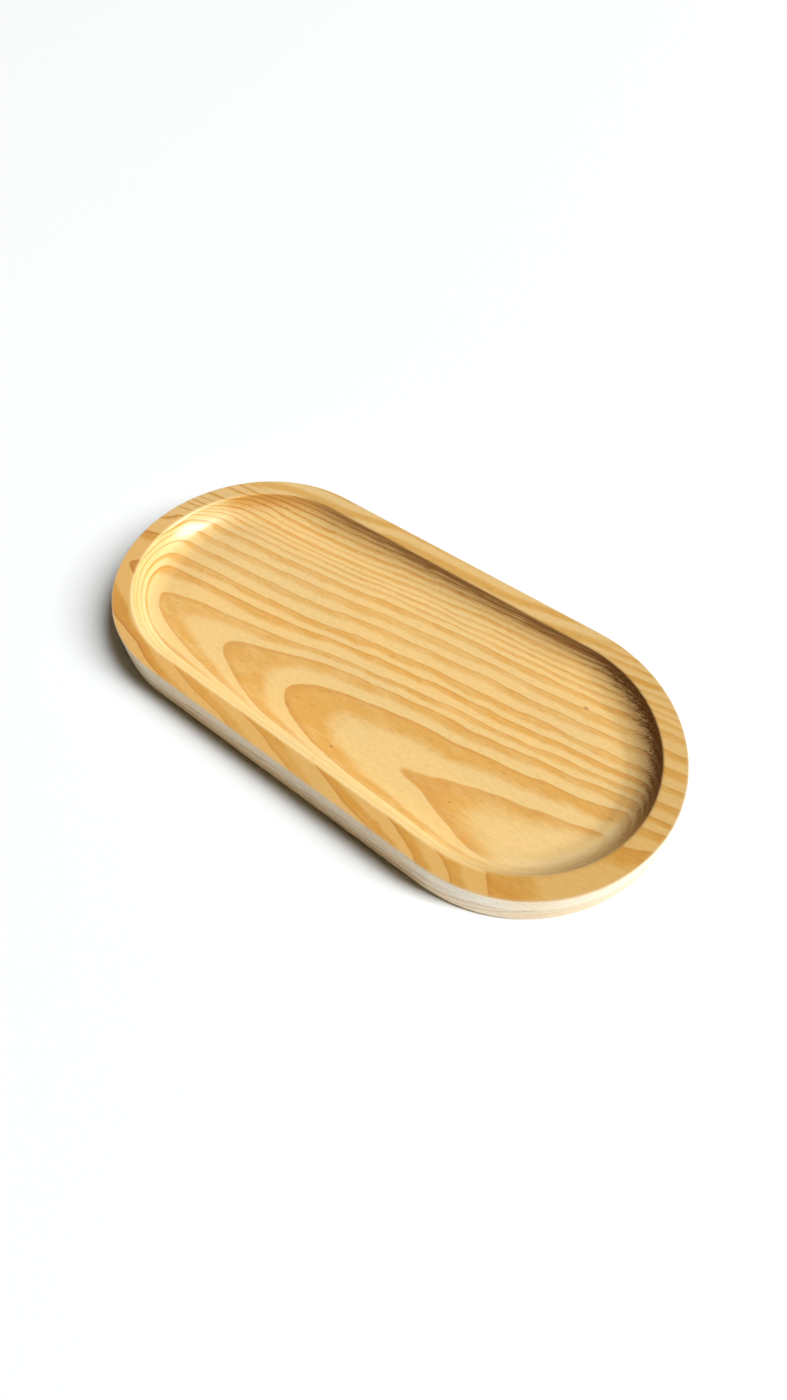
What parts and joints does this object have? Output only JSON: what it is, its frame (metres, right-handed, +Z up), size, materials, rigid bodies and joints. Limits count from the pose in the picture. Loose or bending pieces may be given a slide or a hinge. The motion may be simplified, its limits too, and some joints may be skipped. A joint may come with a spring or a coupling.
{
  "type": "oval serving tray",
  "caption": "Oval wooden serving tray: a round-ended board with a coved recess and a flat rim, on thin anti-slip pads under the board.",
  "frame": {"origin": "on the resting plane, under the middle of the tray", "axes": "+X along the length, +Y across the width towards the back, +Z up out of the recess"},
  "size_m": [0.3, 0.143, 0.0213],
  "materials": {
    "board_wood": "flat-sawn pine under a clear satin varnish",
    "pad_rubber": "matt soft rubber"
  },
  "bodies": {
    "root": {"tray_board": "board_wood", "foot_pad_front_left": "pad_rubber", "foot_pad_front_right": "pad_rubber", "foot_pad_back_left": "pad_rubber", "foot_pad_back_right": "pad_rubber"}
  },
  "joints": []
}
